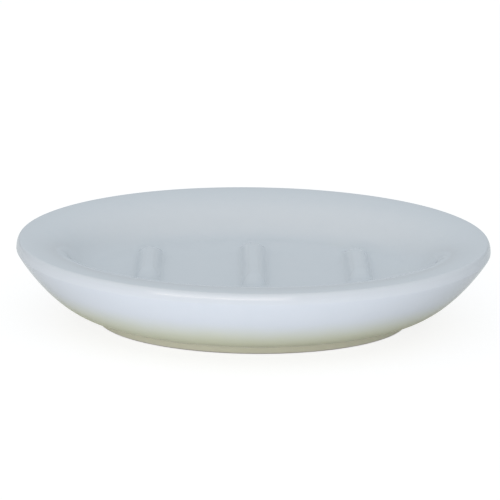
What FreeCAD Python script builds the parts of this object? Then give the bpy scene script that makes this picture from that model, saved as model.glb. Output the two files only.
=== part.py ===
import FreeCAD, Part
import math
import os
from collections import namedtuple

# Oval soap dish in white glazed ceramic: a shallow bowl on an oval foot ring, with three ribs on its floor
# that hold the soap above the water. The pieces are the ones that are luted together in the clay before firing.
# Millimetres. The origin is on the standing surface under the middle of the dish, +X runs along its length,
# +Y to its back and +Z up.

# Whole dish
DISH_LENGTH = 140.0
DISH_WIDTH = 100.0
DISH_HEIGHT = 26.0

# Outside of the bowl
LIP_ROLL_RUN = 2.0         # outer roll of the lip, level
LIP_ROLL_DROP = 3.6        # the same roll, downwards: it is tight on top and long down the outside
UPRIGHT_DROP = 1.2         # how far the wall hangs straight down below the roll before it turns in
FLARE_SHARE = 0.52         # share of the way from rim to foot that the wall keeps low over the table
FLARE_RISE = 0.3           # climb of that low stretch

# Inside of the bowl
BASIN_DEPTH = 10.0         # from the top of the lip to the flat floor
BASIN_WALL_RUN = 22.1      # level distance from the lip to the edge of the flat floor
BASIN_LIP_SWEEP = 17.0     # how far the level lip leads into the falling wall
BASIN_FLOOR_SWEEP = 11.0   # how far the falling wall leads into the level floor
FLOOR_THICKNESS = 6.5
RECESS_COVE_RUN = 14.0     # level run of the cove between the foot ring and the underside

# Foot ring
FOOT_LENGTH = 94.0
FOOT_WIDTH = 59.0
FOOT_HEIGHT = 3.2
FOOT_WALL = 4.5
FOOT_TAPER = 0.5           # how far the outside leans in on its way down
FOOT_ROUND = 0.9           # rounding on both sides of the standing face

# Ribs
RIB_PITCH = 31.0           # from rib to rib
CENTRE_RIB_LENGTH = 43.0
SIDE_RIB_LENGTH = 34.0
RIB_HEIGHT = 3.2
RIB_FOOT_WIDTH = 8.0       # on the floor
RIB_CREST_WIDTH = 4.4
RIB_END_SLOPE = 3.2        # level run of each sloping end
RIB_CREST_ROUND = 2.0
RIB_WAIST_HEIGHT_SHARE = 0.4    # where the hollow of the flared side is deepest
RIB_WAIST_SLOPE_SHARE = 0.6     # how much of the side's slope is used up by that height

# Levels that follow from the sizes above
FLOOR_LEVEL = DISH_HEIGHT - BASIN_DEPTH
CEILING_LEVEL = FLOOR_LEVEL - FLOOR_THICKNESS
ROLL_LEVEL = DISH_HEIGHT - LIP_ROLL_DROP

# An exact circle as four rational quarter arcs: x, y and weight of each pole, and the knots between them
QUARTER_WEIGHT = math.sqrt(0.5)
CIRCLE_POLES = (
    (1, 0, 1), (1, 1, QUARTER_WEIGHT), (0, 1, 1), (-1, 1, QUARTER_WEIGHT), (-1, 0, 1),
    (-1, -1, QUARTER_WEIGHT), (0, -1, 1), (1, -1, QUARTER_WEIGHT), (1, 0, 1),
)
CIRCLE_KNOTS = (0.0, 1.0, 2.0, 3.0, 4.0)
CIRCLE_MULTIPLICITIES = (3, 2, 2, 2, 3)
CIRCLE_DEGREE = 2
ARC_WEIGHTS = (1, QUARTER_WEIGHT, 1)

Oval = namedtuple("Oval", "half_length half_width level")


def inset(oval, distance, level):
    """The oval drawn in by a distance all round, at another level."""
    return Oval(oval.half_length - distance, oval.half_width - distance, level)


def between(first, second, share):
    """The oval at a share of the way from one oval to another."""
    return Oval(*(a + (b - a) * share for a, b in zip(first, second)))


def at_level(oval, level):
    return oval._replace(level=level)


def oval_wire(oval):
    """The oval itself, as one closed edge."""
    poles = [FreeCAD.Vector(oval.half_length * x, oval.half_width * y, oval.level) for x, y, _ in CIRCLE_POLES]
    curve = Part.BSplineCurve()
    curve.buildFromPolesMultsKnots(
        poles, CIRCLE_MULTIPLICITIES, CIRCLE_KNOTS, False, CIRCLE_DEGREE, [weight for *_, weight in CIRCLE_POLES]
    )
    return Part.Wire(curve.toShape())


def oval_skin(ovals, weights=None):
    """A wall that is a true oval at every level. The ovals are the poles of its profile, a Bezier curve: two
    make a straight side, three with ARC_WEIGHTS a quarter round and four a cubic sweep."""
    weights = weights or [1] * len(ovals)
    degree = len(ovals) - 1
    poles = [
        [FreeCAD.Vector(oval.half_length * x, oval.half_width * y, oval.level) for oval in ovals]
        for x, y, _ in CIRCLE_POLES
    ]
    pole_weights = [[around * along for along in weights] for *_, around in CIRCLE_POLES]
    surface = Part.BSplineSurface()
    surface.buildFromPolesMultsKnots(
        poles, CIRCLE_MULTIPLICITIES, (degree + 1, degree + 1), CIRCLE_KNOTS, (0.0, 1.0),
        False, False, CIRCLE_DEGREE, degree, pole_weights,
    )
    return surface.toShape()


def oval_plate(outer, hole=None):
    """A level face inside an oval, or between an oval and a smaller one."""
    wires = [oval_wire(oval) for oval in (outer, hole) if oval]
    return Part.makeFace(wires, "Part::FaceMakerBullseye")


def closed_solid(faces):
    shell = Part.Shell(faces)
    shell.sewShape()
    solid = Part.Solid(shell)
    if solid.Volume < 0:
        solid.reverse()
    return solid


# Ovals that the pieces share
RIM = Oval(DISH_LENGTH / 2, DISH_WIDTH / 2, DISH_HEIGHT)
LIP_TOP = inset(RIM, LIP_ROLL_RUN, DISH_HEIGHT)
BASIN_FLOOR = inset(LIP_TOP, BASIN_WALL_RUN, FLOOR_LEVEL)
FOOT_SEAT_OUTER = Oval(FOOT_LENGTH / 2, FOOT_WIDTH / 2, FOOT_HEIGHT)
FOOT_SEAT_INNER = inset(FOOT_SEAT_OUTER, FOOT_WALL, FOOT_HEIGHT)


def make_bowl():
    """The bowl: dished basin, rolled lip and flared outside, with a flat seat for the foot ring underneath and
    a coved recess inside the seat."""
    basin_wall = oval_skin([
        BASIN_FLOOR,
        inset(BASIN_FLOOR, -BASIN_FLOOR_SWEEP, FLOOR_LEVEL),
        inset(LIP_TOP, BASIN_LIP_SWEEP, DISH_HEIGHT),
        LIP_TOP,
    ])
    roll_end = at_level(RIM, ROLL_LEVEL)
    lip_roll = oval_skin([LIP_TOP, RIM, roll_end], ARC_WEIGHTS)
    outer_wall = oval_skin([
        roll_end,
        at_level(RIM, ROLL_LEVEL - UPRIGHT_DROP),
        at_level(between(FOOT_SEAT_OUTER, RIM, FLARE_SHARE), FOOT_HEIGHT + FLARE_RISE),
        FOOT_SEAT_OUTER,
    ])
    ceiling = inset(FOOT_SEAT_INNER, RECESS_COVE_RUN, CEILING_LEVEL)
    recess_cove = oval_skin([FOOT_SEAT_INNER, at_level(FOOT_SEAT_INNER, CEILING_LEVEL), ceiling], ARC_WEIGHTS)
    return closed_solid([
        oval_plate(BASIN_FLOOR),
        basin_wall,
        lip_roll,
        outer_wall,
        oval_plate(FOOT_SEAT_OUTER, FOOT_SEAT_INNER),
        recess_cove,
        oval_plate(ceiling),
    ])


def make_foot_ring():
    """The oval ring that the dish stands on, seated flat against the bowl's underside."""
    outer_corner = inset(FOOT_SEAT_OUTER, FOOT_TAPER, 0)
    inner_corner = at_level(FOOT_SEAT_INNER, 0)
    round_share = FOOT_ROUND / FOOT_HEIGHT
    outer_side_end = between(outer_corner, FOOT_SEAT_OUTER, round_share)
    inner_side_end = between(inner_corner, FOOT_SEAT_INNER, round_share)
    stand_outer = inset(outer_corner, FOOT_ROUND, 0)
    stand_inner = inset(inner_corner, -FOOT_ROUND, 0)
    return closed_solid([
        oval_plate(FOOT_SEAT_OUTER, FOOT_SEAT_INNER),
        oval_skin([FOOT_SEAT_OUTER, outer_side_end]),
        oval_skin([outer_side_end, outer_corner, stand_outer], ARC_WEIGHTS),
        oval_plate(stand_outer, stand_inner),
        oval_skin([stand_inner, inner_corner, inner_side_end], ARC_WEIGHTS),
        oval_skin([inner_side_end, FOOT_SEAT_INNER]),
    ])


def slot_wire(length, width, level):
    """A straight-sided outline with round ends, lying along Y."""
    radius = width / 2
    straight = length / 2 - radius
    corners = [
        FreeCAD.Vector(side * radius, end * straight, level)
        for side, end in ((1, -1), (1, 1), (-1, 1), (-1, -1))
    ]
    back_tip = FreeCAD.Vector(0, straight + radius, level)
    front_tip = FreeCAD.Vector(0, -straight - radius, level)
    return Part.Wire([
        Part.LineSegment(corners[0], corners[1]).toShape(),
        Part.Arc(corners[1], back_tip, corners[2]).toShape(),
        Part.LineSegment(corners[2], corners[3]).toShape(),
        Part.Arc(corners[3], front_tip, corners[0]).toShape(),
    ])


def make_rib(length, offset, bowl):
    """One soap rib: flared sides and ends, a rounded crest, and an underside that follows the basin."""
    side_slope = (RIB_FOOT_WIDTH - RIB_CREST_WIDTH) / 2

    def outline(height_share, slope_share):
        return slot_wire(
            length - 2 * RIB_END_SLOPE * slope_share,
            RIB_FOOT_WIDTH - 2 * side_slope * slope_share,
            FLOOR_LEVEL + RIB_HEIGHT * height_share,
        )

    flared = Part.makeLoft(
        [outline(0, 0), outline(RIB_WAIST_HEIGHT_SHARE, RIB_WAIST_SLOPE_SHARE), outline(1, 1)], True, False
    )
    crest_level = FLOOR_LEVEL + RIB_HEIGHT
    crest_edges = [
        edge for edge in flared.Edges
        if all(abs(vertex.Z - crest_level) < Part.Precision.confusion() for vertex in edge.Vertexes)
    ]
    rib = flared.makeFillet(RIB_CREST_ROUND, crest_edges)
    rib.translate(FreeCAD.Vector(offset, 0, 0))
    return rib.cut(bowl).Solids[0]


def main():
    bowl = make_bowl()
    pieces = {
        "bowl": bowl,
        "foot_ring": make_foot_ring(),
        "soap_rib_left": make_rib(SIDE_RIB_LENGTH, -RIB_PITCH, bowl),
        "soap_rib_centre": make_rib(CENTRE_RIB_LENGTH, 0, bowl),
        "soap_rib_right": make_rib(SIDE_RIB_LENGTH, RIB_PITCH, bowl),
    }
    os.makedirs("parts", exist_ok=True)
    for name, solid in pieces.items():
        solid.exportStep(f"parts/{name}.step")
        print(name, "valid", solid.isValid(), "volume", round(solid.Volume, 1), "faces", len(solid.Faces))


main()
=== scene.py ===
"""Oval soap dish in white glazed ceramic, laid out as an add-on with one operator for each piece or group
of like pieces and one for the stage. Lengths are in metres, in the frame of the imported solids: +X along
the dish, +Y to its back, +Z up, with the origin on the standing surface under the middle of the dish."""

import math
from collections import namedtuple

import bpy
from bpy.props import FloatProperty, FloatVectorProperty, IntProperty, PointerProperty
from mathutils import Matrix, Vector


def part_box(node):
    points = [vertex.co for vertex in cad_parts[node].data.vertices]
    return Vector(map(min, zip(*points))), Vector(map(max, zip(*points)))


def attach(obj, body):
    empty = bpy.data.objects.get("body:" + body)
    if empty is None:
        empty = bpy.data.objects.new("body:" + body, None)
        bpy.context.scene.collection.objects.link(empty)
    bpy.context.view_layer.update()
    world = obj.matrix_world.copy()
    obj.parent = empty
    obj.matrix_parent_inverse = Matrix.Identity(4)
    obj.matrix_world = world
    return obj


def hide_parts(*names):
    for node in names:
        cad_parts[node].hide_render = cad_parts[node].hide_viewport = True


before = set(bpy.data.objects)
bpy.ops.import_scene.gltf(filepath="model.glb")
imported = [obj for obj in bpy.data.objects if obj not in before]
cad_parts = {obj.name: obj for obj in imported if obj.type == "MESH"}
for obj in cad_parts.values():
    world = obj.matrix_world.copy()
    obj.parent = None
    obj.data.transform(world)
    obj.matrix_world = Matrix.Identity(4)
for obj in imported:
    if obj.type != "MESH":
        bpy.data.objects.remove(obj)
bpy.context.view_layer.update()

bl_info = {
    "name": "Oval soap dish",
    "version": (1, 0, 0),
    "blender": (4, 5, 0),
    "location": "View3D > Sidebar > Soap dish",
    "description": "Builds a glazed ceramic soap dish from its bowl, foot ring and soap ribs",
    "category": "Object",
}

BODY = "root"
RIB_NODES = ("soap_rib_left", "soap_rib_centre", "soap_rib_right")

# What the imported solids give: the box of the whole dish and of each piece
BOWL_LOW, BOWL_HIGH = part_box("bowl")
FOOT_LOW, FOOT_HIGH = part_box("foot_ring")
RIB_BOXES = {node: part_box(node) for node in RIB_NODES}
SIDE_RIB_LOW, SIDE_RIB_HIGH = RIB_BOXES["soap_rib_left"]
RIB_PITCH = abs(SIDE_RIB_LOW.x + SIDE_RIB_HIGH.x) / 2

# A level oval that a profile passes through
Ring = namedtuple("Ring", "half_x half_y level")
# An oval patch, and the shares of its size between which it fades out
Patch = namedtuple("Patch", "middle half_size fade")

# A Bezier curve of three poles is a quarter of an ellipse with these weights
ARC_WEIGHTS = (1.0, math.sqrt(0.5), 1.0)

# Faces along each stretch of a profile
BASIN_WALL_FACES = 28
LIP_FACES = 10
OUTER_WALL_FACES = 30
COVE_FACES = 12
JOIN_FACES = 8
FOOT_SIDE_FACES = 3
FOOT_ROUND_FACES = 6
RIB_SLOPE_FACES = 16

# The grid that closes an oval has a quarter of it on each side
GRID_SIDES = 4

# A rib starts as a round boss, whose sides are cut up where they are drawn out
BOSS_VERTICES = 64
BOSS_SIDE_CUTS = 12
BOSS_SIDE_SHARE = 0.99          # share of the half width past which a vertex is on the side of the boss

# The hand finish stays out of the basin, and fades out over the lip
BASIN_EDGE_SHARE = 0.96         # where the basin starts, as a share of the oval at the top of the lip
LIP_FADE_ROUNDS = 8             # rounds of smoothing

SAME_PLACE = 1e-6               # how near counts as being on a line or at a level
MERGE_DISTANCE = 1e-7
CREASE_ANGLE = math.radians(40.0)

# Glaze. A fade is a pair: where a change starts and where it ends.
NOISE_MEAN = 0.5
GLAZE_IOR = 1.52
PEEL_SIZE = 0.0016              # fine waviness of the fired surface
PEEL_DEPTH = 0.00002
PEEL_STRENGTH = 0.2
RECESS_FADE = (0.95, 1.05)      # shares of the recess's oval
CREAM_REFLECTION_FADE = (0.0025, 0.0135)    # heights over the seat, from the painted warm reflection to full glaze
CLOUD_SIZE = 0.018              # clouds that shift the upper edge of that painted reflection up and down
CLOUD_SHIFT = 0.004
# Darker beside the ribs: glaze that pools in the corners there, and painted shade.
BESIDE_RIB_FADE = (0.0035, 0.0055)      # distances from the middle of the nearest rib
ALONG_RIB_FADE = (0.014, 0.026)         # distances from the middle of the dish
POOL_AND_SHADE_RISE = 0.0035              # height over the floor up to which the glaze pools and shade is painted
POOL_AND_SHADE_SINK = 0.002               # depth below the floor past which none is painted
POOL_AND_SHADE_AMOUNT = 0.2
MOTTLE_SIZE = 0.006             # faint patches of thicker glaze
MOTTLE_FADE = (0.35, 0.75)
MOTTLE_AMOUNT = 0.12
SMEAR_SIZE = 0.011              # patches that are a little more or less glossy
SMEAR_SPAN = 0.06
FOOT_CLOUD_SIZE = 0.009         # patches of thinner glaze on the foot
FOOT_CLOUD_AMOUNT = 0.25
FOOT_CLOUD_ROUGHNESS = 0.08
GATHER_AND_SHADE_DEPTH = 0.0011           # how far down from the bowl glaze gathers and shade is painted on the foot
GATHER_AND_SHADE_SHIFT = 0.001            # how far the patches shift that edge up and down
GATHER_AND_SHADE_AMOUNT = 0.4

# Bare clay
GRAIN_SIZE = 0.0005
GRAIN_DEPTH = 0.00008
GRAIN_STRENGTH = 0.6
GRAIN_AMOUNT = 0.2
STAIN_SIZE = 0.007
STAIN_FADE = (0.45, 0.8)
STAIN_AMOUNT = 0.35
CLAY_ROUGHNESS = 0.72
CLAY_ROUGHNESS_SPAN = 0.2

# Stage
PHOTO_PIXELS = 500
SENSOR_WIDTH = 36.0
CLIP_START = 0.01
TABLE_SIZE = 6.0
NO_LIGHT = (0.0, 0.0, 0.0)
SKY_FADE = (0.0, 0.55)          # heights of a heading, from 0 on the horizon to 1 straight up
# Painted light on the table: the pool glows in front of the dish and fades out over the patch under the
# dish, which is set to the right, as a painted shadow.
POOL_PATCH = Patch((-0.01, -0.1, 0.0), (0.16, 0.09, 1.0), (0.45, 1.3))
UNDER_DISH_PATCH = Patch((0.01, 0.0, 0.0), (0.08, 0.05, 1.0), (0.48, 1.62))


def metres(name, description, default):
    return FloatProperty(name=name, description=description, default=default, unit="LENGTH", precision=5)


def rectangle(name, description, default):
    return FloatVectorProperty(name=name, description=description, default=default, size=2, unit="LENGTH")


def share(name, description, default):
    return FloatProperty(name=name, description=description, default=default, subtype="FACTOR")


def angle(name, description, degrees):
    return FloatProperty(name=name, description=description, default=math.radians(degrees), subtype="ANGLE")


def watts(name, description, default):
    return FloatProperty(name=name, description=description, default=default, unit="POWER")


def colour(name, description, default):
    return FloatVectorProperty(
        name=name, description=description, default=default, size=3, subtype="COLOR", min=0.0, max=1.0
    )


class BowlShape(bpy.types.PropertyGroup):
    """Sizes of the bowl."""

    length: metres("Length", "Outside length over the lip", BOWL_HIGH.x - BOWL_LOW.x)
    width: metres("Width", "Outside width over the lip", BOWL_HIGH.y - BOWL_LOW.y)
    lip_level: metres("Lip level", "Height of the lip above the table", BOWL_HIGH.z)
    seat_level: metres("Seat level", "Height of the seat on the foot ring", BOWL_LOW.z)
    floor_level: metres("Floor level", "Height of the basin floor above the table", SIDE_RIB_LOW.z)
    lip_run: metres("Lip run", "Outer roll of the lip, level", 0.0012)
    lip_drop: metres("Lip drop", "The same roll, downwards", 0.003)
    upright_drop: metres("Upright drop", "How far down the wall starts to turn in, below the roll", 0.0007)
    flare_share: share("Flare share", "Share of the way out that the wall keeps low over the table", 0.52)
    flare_rise: metres("Flare rise", "Climb of that low stretch", 0.0003)
    wall_run: metres("Wall run", "Level distance from the lip to the flat floor", 0.0229)
    lip_sweep: metres("Lip sweep", "How far the level lip leads into the falling wall", 0.0178)
    floor_sweep: metres("Floor sweep", "How far the falling wall leads into the level floor", 0.011)
    floor_thickness: metres("Floor thickness", "Clay between the basin floor and the recess", 0.0065)
    cove_run: metres("Cove run", "Level run of the cove under the dish", 0.014)
    wave: metres("Hand finish", "Unevenness of the sponged outside, lowest to highest", 0.00007)
    wave_size: metres("Hand finish size", "Distance over which the outside wanders", 0.03)
    segments: IntProperty(name="Segments", description="Faces round the oval", default=160, min=32)


class FootShape(bpy.types.PropertyGroup):
    """Sizes of the foot ring."""

    length: metres("Length", "Outside length where the ring meets the bowl", FOOT_HIGH.x - FOOT_LOW.x)
    width: metres("Width", "Outside width where the ring meets the bowl", FOOT_HIGH.y - FOOT_LOW.y)
    wall: metres("Wall", "Thickness of the ring", 0.0045)
    taper: metres("Taper", "How far the outside leans in on its way down", 0.0005)
    stand_round: metres("Stand round", "Rounding beside the standing face", 0.0009)
    join_round: metres("Join round", "Glaze pooled in the corner under the bowl", 0.0009)
    join_tuck: metres("Join tuck", "How far that glaze runs up into the bowl", 0.00025)
    glaze_edge: metres("Glaze edge", "Height at which the glaze stops", 0.0006)
    glaze_step: metres("Glaze step", "Thickness of the glaze at that edge", 0.00012)


class RibShape(bpy.types.PropertyGroup):
    """Sizes of the soap ribs. A share is of the slope that leads from the rib's foot in to its crest."""

    crest_width: metres("Crest width", "Width between the slopes, before the crest is rounded", 0.0044)
    end_slope: metres("End slope", "Level run of each sloping end", 0.0048)
    bed: metres("Bed", "How deep the edge of the rib is bedded in the glaze", 0.000004)
    skirt_share: share("Skirt", "How far the pooled glaze reaches out past the rib's foot", 0.3)
    hollow_share: share("Hollow", "How far in the slope keeps low", 0.5)
    shoulder_share: share("Shoulder", "How far in the slope heads for the height of the crest", 0.6)
    crown_share: share("Crown", "How far the rounding reaches in over the crest", 0.9)


class GlazeFinish(bpy.types.PropertyGroup):
    """Colours of the glaze and the clay."""

    white: colour("White", "Glaze at its full thickness", (0.79, 0.82, 0.84))
    # A darker glaze: faint patches of thicker glaze, and painted shade beside the ribs and at the top of
    # the foot.
    pooled_and_shade: colour("Pooled", "Glaze where it gathers in a corner", (0.70, 0.75, 0.78))
    # A cream: painted warm reflection of the table low on the wall, and patches of thinner glaze on the
    # foot.
    thin_glaze_and_reflection: colour("Thin", "Glaze where it runs thin over the cream clay", (0.78, 0.785, 0.56))
    # Foot: a cream brighter than the wall's glaze, painted light and warm reflection from the table.
    foot: colour("Foot", "Glaze on the foot, over the cream clay", (0.90, 0.90, 0.73))
    clay: colour("Clay", "Bare fired clay on the standing face", (0.80, 0.78, 0.71))
    stain: colour("Stain", "Stains on the bare clay", (0.66, 0.63, 0.55))
    grain: colour("Grain", "Grains in the bare clay", (0.80, 0.78, 0.72))
    roughness: share("Roughness", "Roughness of the glaze", 0.09)


class Studio(bpy.types.PropertyGroup):
    """Camera, lamps and table."""

    distance: metres("Distance", "From the camera to the middle of the lip", 0.6)
    elevation: angle("Elevation", "Camera above the horizon", 18.64)
    azimuth: angle("Azimuth", "Camera to the right of the front", -1.08)
    roll: angle("Roll", "Turn of the camera about its own line of sight", 0.85)
    scale: FloatProperty(
        name="Scale", description="Pixels for each metre at the middle of the lip", default=3385.0
    )
    lip_pixel: FloatVectorProperty(
        name="Lip pixel", description="Where the middle of the lip lies in the picture", size=2,
        default=(253.9, 236.3),
    )
    sky: colour("Sky", "Even light from overhead", (0.605, 0.656, 0.702))
    horizon: colour("Horizon", "Even light from low down all round", (0.465, 0.485, 0.505))
    lamp_distance: metres("Lamp distance", "From each lamp to the middle of the lip", 1.0)
    lamp_azimuth: angle("Lamp azimuth", "Lamps to the right of the front", -12.0)
    lamp_tint: colour("Lamp tint", "Colour of the lamps", (1.0, 0.89, 0.82))
    softbox: watts("Softbox", "Power of the broad front lamp", 2.0)
    softbox_elevation: angle("Softbox elevation", "Broad front lamp above the horizon", 15.0)
    softbox_size: rectangle("Softbox size", "Width and height of the broad front lamp", (0.93, 0.5))
    strip: watts("Strip", "Power of the thin front lamp", 0.6)
    strip_elevation: angle("Strip elevation", "Thin front lamp above the horizon", 8.0)
    strip_size: rectangle("Strip size", "Width and height of the thin front lamp", (0.8, 0.035))
    table: colour("Table", "Colour of the table as it lights the dish", (0.38, 0.38, 0.38))
    pool: FloatProperty(
        name="Pool", description="Brightness of the pool of light in front of the dish", default=0.95
    )
    pool_tint: colour("Pool tint", "Colour of that pool", (0.78, 0.85, 1.0))
    mirrored_table: colour("Mirrored table", "Its colour where the glaze mirrors it", (0.97, 0.96, 1.0))
    mirrored_glow: colour("Mirrored glow", "Light added to the table there", (0.12, 0.12, 0.06))
    seen_table: colour("Seen table", "Its colour where the camera sees it", (0.31, 0.31, 0.31))
    seen_glow: colour("Seen glow", "Light added to the table there, up to white", (0.815, 0.812, 0.808))


class SoapDishSettings(bpy.types.PropertyGroup):
    """Everything that a user would change."""

    bowl: PointerProperty(type=BowlShape)
    foot: PointerProperty(type=FootShape)
    rib: PointerProperty(type=RibShape)
    glaze: PointerProperty(type=GlazeFinish)
    studio: PointerProperty(type=Studio)


# Profiles


def inset(ring, distance, level):
    """The ring drawn in by a distance all round, at another level."""
    return Ring(ring.half_x - distance, ring.half_y - distance, level)


def between(first, second, portion):
    """The ring at a portion of the way from one ring to another."""
    return Ring(*(a + (b - a) * portion for a, b in zip(first, second)))


def sweep(poles, steps, weights=None):
    """Rings along a profile, a Bezier curve whose poles are rings, without the first one."""
    weights = weights or [1.0] * len(poles)
    degree = len(poles) - 1
    rings = []
    for step in range(1, steps + 1):
        t = step / steps
        pulls = [math.comb(degree, i) * t**i * (1 - t) ** (degree - i) * w for i, w in enumerate(weights)]
        pulled = [sum(p * v for p, v in zip(pulls, column)) / sum(pulls) for column in zip(*poles)]
        rings.append(Ring(*pulled))
    return rings


def bowl_rings(bowl, foot):
    """The bowl's profile from the edge of the basin floor, over the lip and down to the recess ceiling."""
    rim = Ring(bowl.length / 2, bowl.width / 2, bowl.lip_level)
    lip_top = inset(rim, bowl.lip_run, bowl.lip_level)
    floor = inset(lip_top, bowl.wall_run, bowl.floor_level)
    roll_level = bowl.lip_level - bowl.lip_drop
    roll_end = rim._replace(level=roll_level)
    seat_outer = Ring(foot.length / 2, foot.width / 2, bowl.seat_level)
    seat_inner = inset(seat_outer, foot.wall, bowl.seat_level)
    flare = between(seat_outer, rim, bowl.flare_share)._replace(level=bowl.seat_level + bowl.flare_rise)
    ceiling_level = bowl.floor_level - bowl.floor_thickness
    ceiling = inset(seat_inner, bowl.cove_run, ceiling_level)
    basin_wall = [
        floor,
        inset(floor, -bowl.floor_sweep, bowl.floor_level),
        inset(lip_top, bowl.lip_sweep, bowl.lip_level),
        lip_top,
    ]
    outer_wall = [roll_end, rim._replace(level=roll_level - bowl.upright_drop), flare, seat_outer]
    recess_cove = [seat_inner, seat_inner._replace(level=ceiling_level), ceiling]
    return [
        floor,
        *sweep(basin_wall, BASIN_WALL_FACES),
        *sweep([lip_top, rim, roll_end], LIP_FACES, ARC_WEIGHTS),
        *sweep(outer_wall, OUTER_WALL_FACES),
        seat_inner,
        *sweep(recess_cove, COVE_FACES, ARC_WEIGHTS),
    ]


def foot_rings(bowl, foot):
    """The foot ring's profile from the corner under the bowl, round the standing face and up the inside."""
    seat_outer = Ring(foot.length / 2, foot.width / 2, bowl.seat_level)
    seat_inner = inset(seat_outer, foot.wall, bowl.seat_level)
    outer_corner = inset(seat_outer, foot.taper, 0.0)
    inner_corner = seat_inner._replace(level=0.0)

    def outside(level):
        return between(outer_corner, seat_outer, level / bowl.seat_level)

    def inside(level):
        return between(inner_corner, seat_inner, level / bowl.seat_level)

    join_top = inset(seat_outer, -foot.join_round, bowl.seat_level + foot.join_tuck)
    join_end = outside(bowl.seat_level - foot.join_round)
    outer_glaze = outside(foot.glaze_edge)
    outer_clay = inset(outer_glaze, foot.glaze_step, foot.glaze_edge)
    inner_glaze = inside(foot.glaze_edge)
    inner_clay = inset(inner_glaze, -foot.glaze_step, foot.glaze_edge)
    stand_outer = inset(outer_corner, foot.stand_round, 0.0)
    stand_inner = inset(inner_corner, -foot.stand_round, 0.0)
    outer_round = [outer_clay, inset(outer_corner, foot.glaze_step, 0.0), stand_outer]
    inner_round = [stand_inner, inset(inner_corner, -foot.glaze_step, 0.0), inner_clay]
    return [
        join_top,
        *sweep([join_top, seat_outer, join_end], JOIN_FACES, ARC_WEIGHTS),
        *sweep([join_end, outer_glaze], FOOT_SIDE_FACES),
        outer_clay,
        *sweep(outer_round, FOOT_ROUND_FACES, ARC_WEIGHTS),
        stand_inner,
        *sweep(inner_round, FOOT_ROUND_FACES, ARC_WEIGHTS),
        inner_glaze,
        *sweep([inner_glaze, seat_inner], FOOT_SIDE_FACES),
    ]


def rib_rings(rib):
    """A side rib's profile from its bedded edge, up the hollow of its skirt and over the crest."""
    foot = Ring(
        (SIDE_RIB_HIGH.x - SIDE_RIB_LOW.x) / 2, (SIDE_RIB_HIGH.y - SIDE_RIB_LOW.y) / 2, SIDE_RIB_LOW.z
    )
    crest = Ring(rib.crest_width / 2, foot.half_y - rib.end_slope, SIDE_RIB_HIGH.z)
    bed_level = foot.level - rib.bed

    def up_the_slope(portion, level):
        return between(foot, crest, portion)._replace(level=level)

    edge = up_the_slope(-rib.skirt_share, bed_level)
    slope = [
        edge,
        up_the_slope(rib.hollow_share, bed_level),
        up_the_slope(rib.shoulder_share, crest.level),
        up_the_slope(1 + rib.crown_share, crest.level),
    ]
    return [edge._replace(level=bed_level - rib.bed), edge, *sweep(slope, RIB_SLOPE_FACES)]


# Modelling


def start_ring(name, ring, segments):
    """Starts a piece as a bare ring, and leaves it selected in edit mode."""
    bpy.ops.object.select_all(action="DESELECT")
    bpy.ops.mesh.primitive_circle_add(vertices=segments, radius=1.0)
    piece = bpy.context.active_object
    piece.name = piece.data.name = name
    bpy.ops.object.mode_set(mode="EDIT")
    bpy.ops.mesh.select_all(action="SELECT")
    bpy.ops.transform.resize(value=(ring.half_x, ring.half_y, 1.0), center_override=(0.0, 0.0, 0.0))
    bpy.ops.transform.translate(value=(0.0, 0.0, ring.level))
    return piece


def extrude_rings(rings):
    """Extrudes the selected ring, which is the first of the rings, through the others."""
    for here, there in zip(rings, rings[1:]):
        rise = (0.0, 0.0, there.level - here.level)
        bpy.ops.mesh.extrude_region_move(TRANSFORM_OT_translate={"value": rise})
        bpy.ops.transform.resize(
            value=(there.half_x / here.half_x, there.half_y / here.half_y, 1.0),
            center_override=(0.0, 0.0, there.level),
        )


def select_open_edges():
    bpy.ops.mesh.select_all(action="DESELECT")
    bpy.ops.mesh.select_mode(type="EDGE")
    bpy.ops.mesh.select_non_manifold(extend=False, use_wire=False, use_multi_face=False, use_verts=False)


def turn_faces_out():
    """Merges doubles, points the faces of the closed shell outwards and leaves edit mode."""
    bpy.ops.mesh.select_all(action="SELECT")
    bpy.ops.mesh.remove_doubles(threshold=MERGE_DISTANCE)
    bpy.ops.mesh.normals_make_consistent(inside=False)
    bpy.ops.object.mode_set(mode="OBJECT")


def cap_both_ends(span):
    """Closes a skin at the selected end and at the other with grids of quads, each span faces wide. Leaves
    edit mode."""
    bpy.ops.mesh.fill_grid(span=span)
    select_open_edges()
    bpy.ops.mesh.fill_grid(span=span)
    turn_faces_out()


def apply_modifier(piece, kind, **settings):
    """Adds a modifier of a kind to the active piece, and applies it."""
    modifier = piece.modifiers.new(kind.title(), kind)
    for name, value in settings.items():
        setattr(modifier, name, value)
    bpy.ops.object.modifier_apply(modifier=modifier.name)


def round_off(piece):
    """Divides each face of the active piece in four along a smooth form, and shades it smooth."""
    apply_modifier(piece, "SUBSURF", levels=1, render_levels=1)
    bpy.ops.object.shade_smooth()


def select_by_place(piece, wanted):
    """Selects the vertices in edit mode whose place passes a test."""
    bpy.ops.mesh.select_mode(type="VERT")
    bpy.ops.mesh.select_all(action="DESELECT")
    bpy.ops.object.mode_set(mode="OBJECT")
    for vertex in piece.data.vertices:
        vertex.select = wanted(vertex.co)
    bpy.ops.object.mode_set(mode="EDIT")


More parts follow.
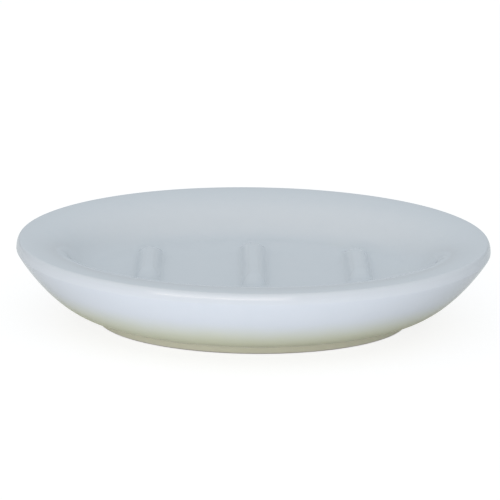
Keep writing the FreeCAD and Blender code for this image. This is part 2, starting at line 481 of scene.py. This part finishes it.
def group_outside(piece, bowl):
    """Groups the vertices of the bowl that aren't in its basin, fading out over the lip. Returns the name
    of the group."""
    half_x, half_y = bowl.length / 2 - bowl.lip_run, bowl.width / 2 - bowl.lip_run
    under_floor = bowl.floor_level - bowl.floor_thickness / 2

    def outside(place):
        return place.z < under_floor or math.hypot(place.x / half_x, place.y / half_y) > BASIN_EDGE_SHARE

    bpy.ops.object.mode_set(mode="EDIT")
    select_by_place(piece, outside)
    bpy.ops.object.vertex_group_assign_new()
    bpy.ops.mesh.select_all(action="SELECT")
    bpy.ops.object.vertex_group_smooth(group_select_mode="ACTIVE", repeat=LIP_FADE_ROUNDS)
    bpy.ops.object.mode_set(mode="OBJECT")
    return piece.vertex_groups.active.name


def stretch(piece, spread):
    """Moves the back half of a piece back and the front half forward."""
    for side in (1.0, -1.0):
        select_by_place(piece, lambda place: place.y * side > SAME_PLACE)
        bpy.ops.transform.translate(value=(0.0, side * spread, 0.0))


def hand_over(piece, node, slot, *materials):
    """Gives a finished piece its materials, hangs it under the body and hides the solid that it stands for.
    """
    for material in materials:
        piece.data.materials.append(material)
    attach(piece, BODY)
    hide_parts(node)


# Finishes


class Wire:
    """An output socket that takes part in Python expressions: each operation adds its Math node."""

    def __init__(self, finish, socket):
        self.finish = finish
        self.socket = socket

    def math(self, operation, first, second=0.0):
        return self.finish.node("ShaderNodeMath", {0: first, 1: second}, operation=operation)

    def __add__(self, other):
        return self.math("ADD", self, other)

    def __radd__(self, other):
        return self.math("ADD", other, self)

    def __sub__(self, other):
        return self.math("SUBTRACT", self, other)

    def __rsub__(self, other):
        return self.math("SUBTRACT", other, self)

    def __mul__(self, other):
        return self.math("MULTIPLY", self, other)

    def __rmul__(self, other):
        return self.math("MULTIPLY", other, self)

    def __abs__(self):
        return self.math("ABSOLUTE", self)


class Finish:
    """A node tree that is filled node by node."""

    def __init__(self, tree):
        self.tree = tree
        tree.nodes.clear()

    def node(self, kind, inputs=None, output=0, **settings):
        """Adds a node of a kind, with its settings and the values or wires of its sockets."""
        made = self.tree.nodes.new(kind)
        for name, value in settings.items():
            setattr(made, name, value)
        for key, value in (inputs or {}).items():
            if isinstance(value, Wire):
                self.tree.links.new(value.socket, made.inputs[key])
            else:
                made.inputs[key].default_value = value
        return Wire(self, made.outputs[output]) if len(made.outputs) else None

    def point(self):
        """A point on the piece, in the piece's own coordinates."""
        return self.node("ShaderNodeTexCoord", output="Object")

    def along(self, axis, point):
        """A point's place along one axis."""
        return self.node("ShaderNodeSeparateXYZ", {0: point}, output=axis)

    def ease(self, value, start, end):
        """A smooth step from 0 at start to 1 at end."""
        return self.node(
            "ShaderNodeMapRange", {"Value": value, "From Min": start, "From Max": end},
            interpolation_type="SMOOTHSTEP",
        )

    def noise(self, point, size, detail, roughness=0.5):
        """Soft noise of a size, from 0 to 1."""
        return self.node("ShaderNodeTexNoise", {
            "Vector": point, "Scale": 1.0 / size, "Detail": detail, "Roughness": roughness,
        })

    def blend(self, factor, first, second):
        """Colours mixed by a factor. A Mix node has its colours on inputs 6 and 7, and their mix on
        output 2."""
        return self.node("ShaderNodeMix", {0: factor, 6: first, 7: second}, output=2, data_type="RGBA")

    def beyond(self, patch, point):
        """0 in the middle of an oval patch, and 1 outside it."""
        off = self.node("ShaderNodeVectorMath", {0: point, 1: patch.middle}, operation="SUBTRACT")
        off = self.node("ShaderNodeVectorMath", {0: off, 1: patch.half_size}, operation="DIVIDE")
        reach = self.node("ShaderNodeVectorMath", {0: off}, output="Value", operation="LENGTH")
        return self.ease(reach, *patch.fade)

    def bump(self, height, distance, strength):
        return self.node("ShaderNodeBump", {"Height": height, "Distance": distance, "Strength": strength})

    def glowing(self, shade, glow, strength=1.0):
        """A matt surface that also gives off light."""
        return self.node("ShaderNodeAddShader", {
            0: self.node("ShaderNodeBsdfDiffuse", {"Color": shade}),
            1: self.node("ShaderNodeEmission", {"Color": glow, "Strength": strength}),
        })

    def glazed(self, point, base, roughness):
        """Ends the tree as a glaze, with the fine waviness of a fired surface."""
        peel = self.noise(point, PEEL_SIZE, detail=1.0)
        glaze = self.node("ShaderNodeBsdfPrincipled", {
            "Base Color": base,
            "Roughness": roughness,
            "IOR": GLAZE_IOR,
            "Normal": self.bump(peel, PEEL_DEPTH, PEEL_STRENGTH),
        })
        self.node("ShaderNodeOutputMaterial", {"Surface": glaze})


def opaque(rgb):
    """A colour with full alpha, as a socket takes it."""
    return (*rgb, 1.0)


def gloss_white_glaze(finish, settings):
    """Glossy white glaze: full on the wall; darker beside the ribs, where glaze pools and shade is painted;
    cream low on the wall, a painted warm reflection of the table.
    """
    colours = settings.glaze
    foot = settings.foot
    seat = settings.bowl.seat_level
    floor = settings.bowl.floor_level
    point = finish.point()
    x, y, z = (finish.along(axis, point) for axis in "XYZ")

    # Cream low on the outside wall, kept out of the recess: a painted warm reflection of the table.
    recess = (foot.length / 2 - foot.wall, foot.width / 2 - foot.wall, 1.0)
    outside = finish.beyond(Patch((0.0, 0.0, 0.0), recess, RECESS_FADE), point)
    cloud = finish.noise(point, CLOUD_SIZE, detail=3.0)
    height = z + (cloud - NOISE_MEAN) * CLOUD_SHIFT
    low = outside * (1.0 - finish.ease(height, *(seat + rise for rise in CREAM_REFLECTION_FADE)))

    # Glaze that pools and painted shade in the corners beside the ribs.
    off_rib = finish.node("ShaderNodeMath", {0: abs(x), 1: RIB_PITCH / 2}, operation="PINGPONG")
    beside_rib = 1.0 - finish.ease(off_rib, *BESIDE_RIB_FADE)
    along_rib = 1.0 - finish.ease(abs(y), *ALONG_RIB_FADE)
    in_basin = 1.0 - finish.ease(z, floor, floor + POOL_AND_SHADE_RISE)
    not_under = finish.ease(z, floor - POOL_AND_SHADE_SINK, floor)
    pooled_and_shade = beside_rib * along_rib * in_basin * not_under * POOL_AND_SHADE_AMOUNT

    mottle = finish.ease(finish.noise(point, MOTTLE_SIZE, detail=4.0, roughness=0.6), *MOTTLE_FADE)
    base = finish.blend(mottle * MOTTLE_AMOUNT, opaque(colours.white), opaque(colours.pooled_and_shade))
    base = finish.blend(pooled_and_shade, base, opaque(colours.pooled_and_shade))
    # Paints the table's warm reflection low on the wall.
    base = finish.blend(low, base, opaque(colours.thin_glaze_and_reflection))
    smear = finish.noise(point, SMEAR_SIZE, detail=3.0, roughness=0.6)
    finish.glazed(point, base, smear * SMEAR_SPAN + (colours.roughness - SMEAR_SPAN / 2))


def thin_cream_glaze(finish, settings):
    """The same glaze on the foot ring, painted a brighter cream for the table's light and warm reflection,
    with patches of thinner glaze, and darker in the corner under the bowl, where glaze gathers and shade is
    painted.
    """
    colours = settings.glaze
    seat = settings.bowl.seat_level
    point = finish.point()
    cloud = finish.noise(point, FOOT_CLOUD_SIZE, detail=3.0)
    height = finish.along("Z", point) + (cloud - NOISE_MEAN) * GATHER_AND_SHADE_SHIFT
    # Darker at the top of the foot under the bowl: glaze that gathers there, and painted shade.
    gathered_and_shade = finish.ease(height, seat - GATHER_AND_SHADE_DEPTH, seat)
    # Paints the foot a brighter cream, for the table's light and warm reflection.
    base = finish.blend(cloud * FOOT_CLOUD_AMOUNT, opaque(colours.foot), opaque(colours.thin_glaze_and_reflection))
    base = finish.blend(gathered_and_shade * GATHER_AND_SHADE_AMOUNT, base, opaque(colours.pooled_and_shade))
    finish.glazed(point, base, cloud * FOOT_CLOUD_ROUGHNESS + colours.roughness)


def bare_clay(finish, settings):
    """Fired clay with no glaze on it: matt, grainy and a little stained."""
    colours = settings.glaze
    point = finish.point()
    grain = finish.noise(point, GRAIN_SIZE, detail=4.0, roughness=0.7)
    stain = finish.ease(finish.noise(point, STAIN_SIZE, detail=3.0), *STAIN_FADE)
    base = finish.blend(stain * STAIN_AMOUNT, opaque(colours.clay), opaque(colours.stain))
    base = finish.blend(grain * GRAIN_AMOUNT, base, opaque(colours.grain))
    clay = finish.node("ShaderNodeBsdfPrincipled", {
        "Base Color": base,
        "Roughness": CLAY_ROUGHNESS + grain * CLAY_ROUGHNESS_SPAN,
        "Normal": finish.bump(grain, GRAIN_DEPTH, GRAIN_STRENGTH),
    })
    finish.node("ShaderNodeOutputMaterial", {"Surface": clay})


def table_top(finish, settings):
    """The table: grey to the dish, with a glowing pool of painted light on it that fades out under the dish
    as a painted shadow, and white to the eye, with the shadow of the dish on it."""
    studio = settings.studio
    point = finish.point()
    pool = (1.0 - finish.beyond(POOL_PATCH, point)) * finish.beyond(UNDER_DISH_PATCH, point)
    pool_light = finish.blend(pool, opaque(NO_LIGHT), opaque(studio.pool_tint))
    lit = finish.glowing(opaque(studio.table), pool_light, studio.pool)
    mirrored = finish.glowing(opaque(studio.mirrored_table), opaque(studio.mirrored_glow))
    seen = finish.glowing(opaque(studio.seen_table), opaque(studio.seen_glow))
    camera, glossy, transmission = (
        finish.node("ShaderNodeLightPath", output=ray)
        for ray in ("Is Camera Ray", "Is Glossy Ray", "Is Transmission Ray")
    )
    in_mirror = finish.node("ShaderNodeMath", {0: glossy, 1: transmission}, operation="MAXIMUM")
    surface = finish.node("ShaderNodeMixShader", {0: in_mirror, 1: lit, 2: mirrored})
    surface = finish.node("ShaderNodeMixShader", {0: camera, 1: surface, 2: seen})
    finish.node("ShaderNodeOutputMaterial", {"Surface": surface})


def finish_of(make, settings):
    """The material that a finish's function makes, under the function's name. It is made once."""
    material = bpy.data.materials.get(make.__name__)
    if material is None:
        material = bpy.data.materials.new(make.__name__)
        material.use_nodes = True
        make(Finish(material.node_tree), settings)
    return material


# Lamps and camera


def direction(azimuth, elevation):
    """From the dish towards an eye or a lamp, with azimuth 0 at the front."""
    level = math.cos(elevation)
    return Vector((math.sin(azimuth) * level, -math.cos(azimuth) * level, math.sin(elevation)))


def facing(back):
    """The turn of a camera or lamp that looks along minus back, with its top up."""
    return (-back).to_track_quat("-Z", "Y").to_matrix().to_4x4()


def set_up(scene, device, place, turn):
    """Puts a lamp or a camera in its place in the scene."""
    holder = bpy.data.objects.new(device.name, device)
    scene.collection.objects.link(holder)
    holder.matrix_world = Matrix.Translation(place) @ turn
    return holder


# Operators


class SOAPDISH_OT_bowl(bpy.types.Operator):
    """Models the bowl: basin, rolled lip, flared outside and the recess underneath"""

    bl_idname = "soapdish.bowl"
    bl_label = "Bowl"

    def execute(self, context):
        settings = context.scene.soap_dish
        bowl = settings.bowl
        rings = bowl_rings(bowl, settings.foot)
        piece = start_ring("bowl_glazed", rings[0], bowl.segments)
        extrude_rings(rings)
        cap_both_ends(bowl.segments // GRID_SIDES)
        texture = bpy.data.textures.new("hand_finish", "CLOUDS")
        texture.noise_scale = bowl.wave_size
        apply_modifier(
            piece, "DISPLACE", texture=texture, texture_coords="LOCAL", strength=bowl.wave,
            vertex_group=group_outside(piece, bowl),
        )
        round_off(piece)
        hand_over(piece, "bowl", "white_glaze", finish_of(gloss_white_glaze, settings))
        return {"FINISHED"}


class SOAPDISH_OT_foot_ring(bpy.types.Operator):
    """Models the foot ring, with its glaze stopping short of the standing face"""

    bl_idname = "soapdish.foot_ring"
    bl_label = "Foot ring"

    def execute(self, context):
        settings = context.scene.soap_dish
        foot = settings.foot
        rings = foot_rings(settings.bowl, foot)
        piece = start_ring("foot_ring_glazed", rings[0], settings.bowl.segments)
        extrude_rings(rings)
        select_open_edges()
        bpy.ops.mesh.bridge_edge_loops()
        turn_faces_out()
        clay = finish_of(bare_clay, settings)
        hand_over(piece, "foot_ring", "foot_glaze", finish_of(thin_cream_glaze, settings), clay)
        bpy.ops.object.mode_set(mode="EDIT")
        select_by_place(piece, lambda place: place.z < foot.glaze_edge + SAME_PLACE)
        bpy.ops.mesh.select_mode(type="FACE")
        piece.active_material_index = piece.data.materials.find(clay.name)
        bpy.ops.object.material_slot_assign()
        bpy.ops.object.mode_set(mode="OBJECT")
        bpy.ops.object.shade_smooth_by_angle(angle=CREASE_ANGLE)
        return {"FINISHED"}


class SOAPDISH_OT_soap_ribs(bpy.types.Operator):
    """Models one soap rib, and copies it to its place under each rib's name"""

    bl_idname = "soapdish.soap_ribs"
    bl_label = "Soap ribs"

    def execute(self, context):
        settings = context.scene.soap_dish
        pattern = self.model_pattern(rib_rings(settings.rib))
        for node in RIB_NODES:
            low, high = RIB_BOXES[node]
            piece = pattern.copy()
            piece.data = pattern.data.copy()
            piece.name = piece.data.name = f"{node}_glazed"
            context.collection.objects.link(piece)
            bpy.ops.object.select_all(action="DESELECT")
            context.view_layer.objects.active = piece
            piece.select_set(True)
            bpy.ops.object.mode_set(mode="EDIT")
            stretch(piece, (high.y - low.y) / 2 - (SIDE_RIB_HIGH.y - SIDE_RIB_LOW.y) / 2)
            bpy.ops.mesh.select_all(action="SELECT")
            bpy.ops.transform.translate(value=((low.x + high.x) / 2, 0.0, 0.0))
            turn_faces_out()
            round_off(piece)
            hand_over(piece, node, "white_glaze", finish_of(gloss_white_glaze, settings))
        bpy.data.objects.remove(pattern)
        return {"FINISHED"}

    def model_pattern(self, rings):
        """A side rib in the middle of the dish: a round boss drawn out lengthwise."""
        edge = rings[0]
        piece = start_ring("rib_pattern", edge._replace(half_y=edge.half_x), BOSS_VERTICES)
        stretch(piece, edge.half_y - edge.half_x)
        select_by_place(piece, lambda place: abs(place.x) > BOSS_SIDE_SHARE * edge.half_x)
        bpy.ops.mesh.select_mode(type="EDGE")
        bpy.ops.mesh.subdivide(number_cuts=BOSS_SIDE_CUTS)
        bpy.ops.mesh.select_all(action="SELECT")
        extrude_rings(rings)
        cap_both_ends(BOSS_VERTICES // 2)
        return piece


class SOAPDISH_OT_stage(bpy.types.Operator):
    """Sets up the white table, the soft front light and the camera"""

    bl_idname = "soapdish.stage"
    bl_label = "Stage"

    def execute(self, context):
        settings = context.scene.soap_dish
        middle = Vector((0.0, 0.0, settings.bowl.lip_level))
        context.scene.view_settings.view_transform = "Standard"
        self.lay_table(context, settings)
        self.light_sky(context.scene, settings.studio)
        self.hang_lamps(context.scene, settings.studio, middle)
        self.set_camera(context.scene, settings.studio, middle)
        return {"FINISHED"}

    def lay_table(self, context, settings):
        bpy.ops.object.select_all(action="DESELECT")
        bpy.ops.mesh.primitive_plane_add(size=TABLE_SIZE)
        table = context.active_object
        table.name = "table"
        table.data.materials.append(finish_of(table_top, settings))

    def light_sky(self, scene, studio):
        """Even light all round, which changes colour from the horizon up."""
        world = bpy.data.worlds.new("studio")
        scene.world = world
        world.use_nodes = True
        finish = Finish(world.node_tree)
        heading = finish.node("ShaderNodeTexCoord", output="Generated")
        up = finish.ease(finish.along("Z", heading), *SKY_FADE)
        light = finish.blend(up, opaque(studio.horizon), opaque(studio.sky))
        finish.node("ShaderNodeOutputWorld", {
            "Surface": finish.node("ShaderNodeBackground", {"Color": light}),
        })

    def hang_lamps(self, scene, studio, middle):
        """A broad and a thin rectangular lamp, which face the dish."""
        for name, power, elevation, size in (
            ("softbox", studio.softbox, studio.softbox_elevation, studio.softbox_size),
            ("strip", studio.strip, studio.strip_elevation, studio.strip_size),
        ):
            lamp = bpy.data.lights.new(name, "AREA")
            lamp.shape = "RECTANGLE"
            lamp.size, lamp.size_y = size
            lamp.energy = power
            lamp.color = studio.lamp_tint
            back = direction(studio.lamp_azimuth, elevation)
            set_up(scene, lamp, middle + back * studio.lamp_distance, facing(back))

    def set_camera(self, scene, studio, middle):
        """The camera looks past the middle of the lip, so that the lip lies where the picture has it."""
        camera = bpy.data.cameras.new("camera")
        camera.sensor_width = SENSOR_WIDTH
        camera.lens = SENSOR_WIDTH * studio.distance * studio.scale / PHOTO_PIXELS
        camera.clip_start = CLIP_START
        roll = Matrix.Rotation(studio.roll, 4, "Z")
        back = direction(studio.azimuth, studio.elevation)
        eye = middle + back * studio.distance
        off_right = (studio.lip_pixel[0] - PHOTO_PIXELS / 2) / studio.scale
        off_up = (PHOTO_PIXELS / 2 - studio.lip_pixel[1]) / studio.scale
        aim = middle - (facing(back) @ roll).to_3x3() @ Vector((off_right, off_up, 0.0))
        scene.camera = set_up(scene, camera, eye, facing((eye - aim).normalized()) @ roll)


class SOAPDISH_PT_panel(bpy.types.Panel):
    """Lists the settings of the soap dish and the operators that build it"""

    bl_idname = "SOAPDISH_PT_panel"
    bl_label = "Soap dish"
    bl_space_type = "VIEW_3D"
    bl_region_type = "UI"
    bl_category = "Soap dish"

    def draw(self, context):
        settings = context.scene.soap_dish
        for title, group in (
            ("Bowl", settings.bowl), ("Foot ring", settings.foot), ("Ribs", settings.rib),
            ("Glaze", settings.glaze), ("Studio", settings.studio),
        ):
            box = self.layout.box()
            box.label(text=title)
            for name in group.__annotations__:
                box.prop(group, name)
        for operator in OPERATORS:
            self.layout.operator(operator.bl_idname)


OPERATORS = (SOAPDISH_OT_bowl, SOAPDISH_OT_foot_ring, SOAPDISH_OT_soap_ribs, SOAPDISH_OT_stage)
GROUPS = (BowlShape, FootShape, RibShape, GlazeFinish, Studio, SoapDishSettings)
CLASSES = (*GROUPS, *OPERATORS, SOAPDISH_PT_panel)


def register():
    for each in CLASSES:
        bpy.utils.register_class(each)
    bpy.types.Scene.soap_dish = PointerProperty(type=SoapDishSettings)


def unregister():
    del bpy.types.Scene.soap_dish
    for each in reversed(CLASSES):
        bpy.utils.unregister_class(each)


def main():
    register()
    bpy.ops.soapdish.bowl()
    bpy.ops.soapdish.foot_ring()
    bpy.ops.soapdish.soap_ribs()
    bpy.ops.soapdish.stage()


if __name__ == "__main__":
    main()
